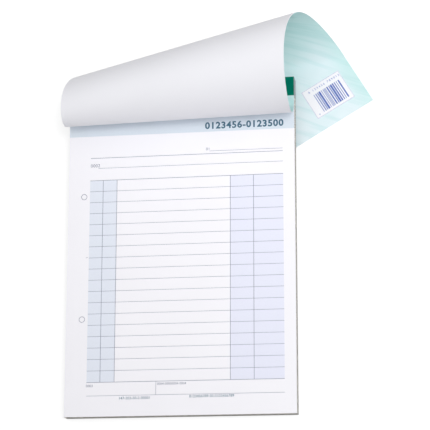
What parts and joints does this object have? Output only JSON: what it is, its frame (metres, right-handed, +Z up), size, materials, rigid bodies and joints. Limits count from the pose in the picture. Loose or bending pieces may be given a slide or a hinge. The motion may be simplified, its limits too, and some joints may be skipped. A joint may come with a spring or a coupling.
{
  "type": "delivery note book",
  "caption": "Top-bound pad of two-part forms on a grey board, with cloth binding tape and a card cover that is rolled back over the binding and tucked under the pad.",
  "frame": {"origin": "on the table, under the middle of the whole outline", "axes": "+X across the page to the right, +Y up the page to the binding, +Z up from the table"},
  "size_m": [0.1972, 0.2498, 0.0631],
  "materials": {
    "form_paper": "matte white printed paper",
    "copy_paper": "matte tinted self-copying paper",
    "paper_edges": "cut edges of stacked sheets",
    "grey_board": "unlined solid grey board",
    "cover_card": "satin card, mint outside and white inside",
    "binding_cloth": "coated green binding cloth",
    "staple_wire": "bright flat wire"
  },
  "bodies": {
    "pad": {"back_board": "grey_board", "stub_block": "paper_edges", "staple_left": "staple_wire", "staple_right": "staple_wire", "cover_stub": "cover_card", "binding_tape": "binding_cloth", "set_01_original": "form_paper", "set_01_copy": "copy_paper", "set_02_original": "form_paper", "set_02_copy": "copy_paper", "set_03_original": "form_paper", "set_03_copy": "copy_paper", "set_04_original": "form_paper", "set_04_copy": "copy_paper", "set_05_original": "form_paper", "set_05_copy": "copy_paper", "sets_06_to_10": "paper_edges", "sets_11_to_15": "paper_edges", "sets_16_to_20": "paper_edges", "sets_21_to_25": "paper_edges", "sets_26_to_30": "paper_edges", "sets_31_to_35": "paper_edges", "sets_36_to_40": "paper_edges", "sets_41_to_45": "paper_edges", "sets_46_to_50": "paper_edges"},
    "roll_1": {"cover_strip_01": "cover_card", "cover_strip_02": "cover_card"},
    "roll_2": {"cover_strip_03": "cover_card", "cover_strip_04": "cover_card", "cover_strip_05": "cover_card", "cover_strip_06": "cover_card", "cover_strip_07": "cover_card", "cover_strip_08": "cover_card"},
    "roll_3": {"cover_strip_09": "cover_card", "cover_strip_10": "cover_card", "cover_strip_11": "cover_card", "cover_strip_12": "cover_card", "cover_strip_13": "cover_card", "cover_strip_14": "cover_card"},
    "roll_4": {"cover_strip_15": "cover_card", "cover_strip_16": "cover_card", "cover_strip_17": "cover_card", "cover_strip_18": "cover_card", "cover_strip_19": "cover_card", "cover_strip_20": "cover_card", "cover_strip_21": "cover_card"},
    "cover_end": {"cover_strip_22": "cover_card", "cover_strip_23": "cover_card", "cover_strip_24": "cover_card", "cover_end": "cover_card"}
  },
  "joints": [
    {"name": "crease_hinge", "type": "hinge", "parent": "pad", "child": "roll_1", "pos_m": [-0.09831, 0.07874, 0.01268], "axis": [1, 0, 0], "range_deg": [0, 8.33]},
    {"name": "fold_1", "type": "hinge", "parent": "roll_1", "child": "roll_2", "pos_m": [-0.09834, 0.06275, 0.01914], "axis": [0.9997, 0.0235, -0.0046], "range_deg": [0, 87.8]},
    {"name": "fold_2", "type": "hinge", "parent": "roll_2", "child": "roll_3", "pos_m": [-0.09861, 0.0648, 0.03414], "axis": [0.985, 0.0872, 0.1488], "range_deg": [0, 96.02]},
    {"name": "fold_3", "type": "hinge", "parent": "roll_3", "child": "roll_4", "pos_m": [-0.09543, 0.08956, 0.03001], "axis": [0.9704, 0.1792, 0.1622], "range_deg": [0, 74.16]},
    {"name": "fold_4", "type": "hinge", "parent": "roll_4", "child": "cover_end", "pos_m": [-0.08341, 0.09515, 0.00229], "axis": [0.9872, 0.1466, 0.062], "range_deg": [0, 93.58]}
  ],
  "couplings": [
    {"joint": "fold_1", "follows": "crease_hinge", "ratio": 10.538},
    {"joint": "fold_2", "follows": "crease_hinge", "ratio": 11.524},
    {"joint": "fold_3", "follows": "crease_hinge", "ratio": 8.9008},
    {"joint": "fold_4", "follows": "crease_hinge", "ratio": 11.232}
  ]
}
